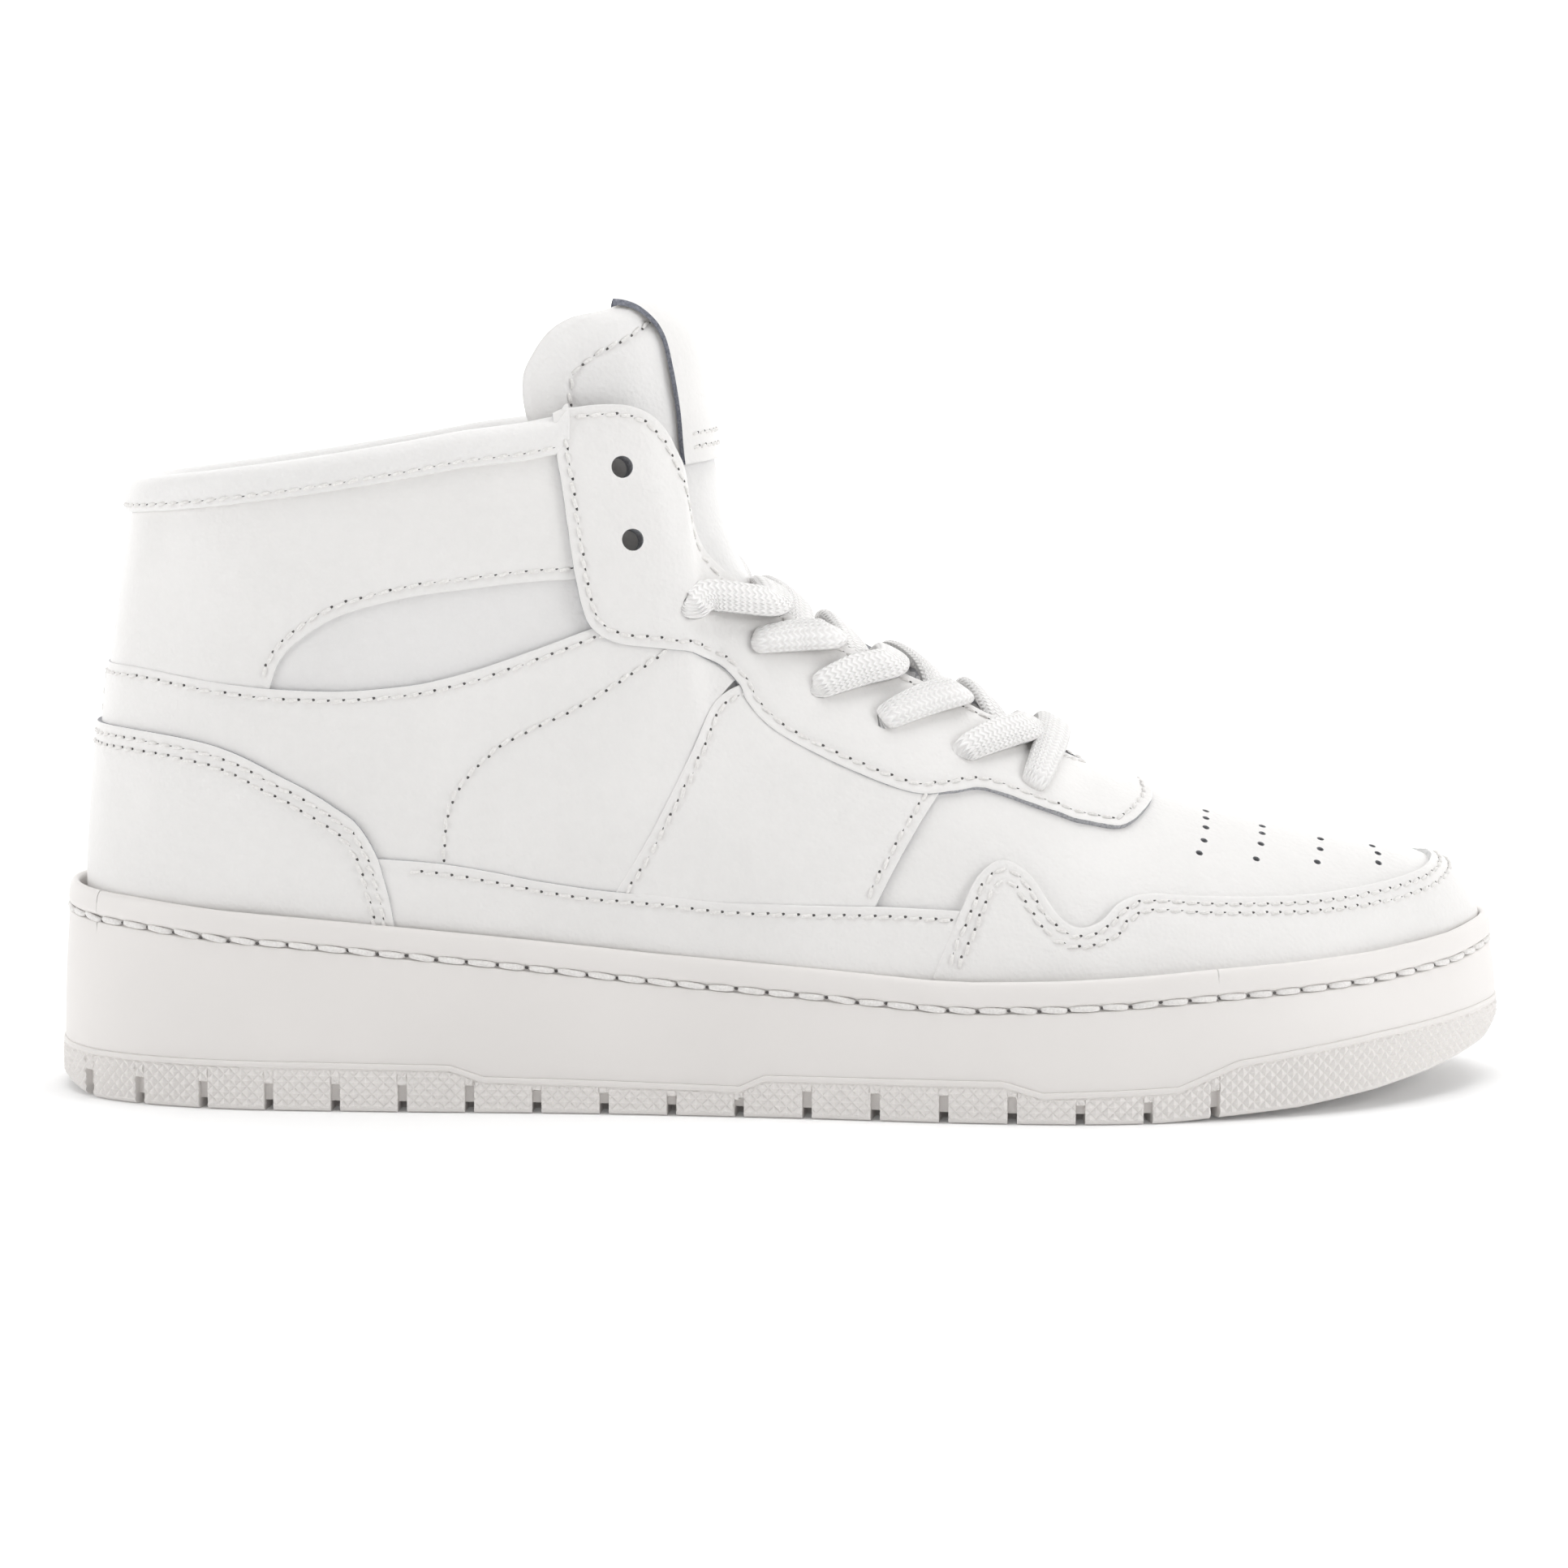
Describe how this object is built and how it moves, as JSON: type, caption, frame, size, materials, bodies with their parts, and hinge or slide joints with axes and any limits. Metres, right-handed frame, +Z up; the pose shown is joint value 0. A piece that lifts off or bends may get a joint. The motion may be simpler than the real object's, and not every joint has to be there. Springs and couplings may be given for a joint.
{
  "type": "high top sneaker",
  "caption": "White leather basketball high top with layered overlays, flat laces and a stitched rubber cupsole with a textured edge",
  "frame": {"origin": "centre of the shoe's box at ground level, under the middle of the outsole", "axes": "+X to the toe, -Y to the lateral (outer) side, +Z up"},
  "size_m": [0.3, 0.1052, 0.1633],
  "materials": {
    "leather_base": "satin",
    "leather_overlay": "satin",
    "rubber": "satin",
    "foam": "matte",
    "textile": "matte",
    "thread": "matte",
    "lace": "matte",
    "board": "matte",
    "lace_tip": "gloss"
  },
  "bodies": {
    "shoe": {"outsole": "rubber", "cupsole": "rubber", "sidewall_stitching": "thread", "midsole_foam": "foam", "lasting_board": "board", "sockliner": "textile", "lining": "textile", "collar_foam": "foam", "toe_puff": "board", "heel_counter": "board", "interlining_heel": "board", "interlining_lateral": "board", "interlining_medial": "board", "interlining_toe": "board", "quarter_base": "leather_base", "vamp": "leather_base", "toe_overlay": "leather_overlay", "heel_overlay": "leather_overlay", "quarter_band_lateral": "leather_overlay", "quarter_band_medial": "leather_overlay", "collar_panel": "leather_overlay", "front_quarter_lateral": "leather_overlay", "front_quarter_medial": "leather_overlay", "foxing_lateral": "leather_overlay", "foxing_medial": "leather_overlay", "eyestay_lateral": "leather_overlay", "eyestay_medial": "leather_overlay", "collar_binding": "leather_overlay", "tongue_leather": "leather_base", "tongue_padding": "foam", "tongue_lining": "textile", "lace": "lace", "lace_tips": "lace_tip"},
    "tongue_top": {"tongue_top_leather": "leather_base", "tongue_top_padding": "foam", "tongue_top_lining": "textile", "tongue_label": "leather_overlay"}
  },
  "joints": [
    {"name": "tongue_fold", "type": "hinge", "parent": "shoe", "child": "tongue_top", "pos_m": [-0.0175, 0, 0.149], "axis": [0, 1, 0], "range_deg": [0, 40], "stiffness_Nm_per_rad": 0.02, "deforming": ["tongue_label"]}
  ]
}
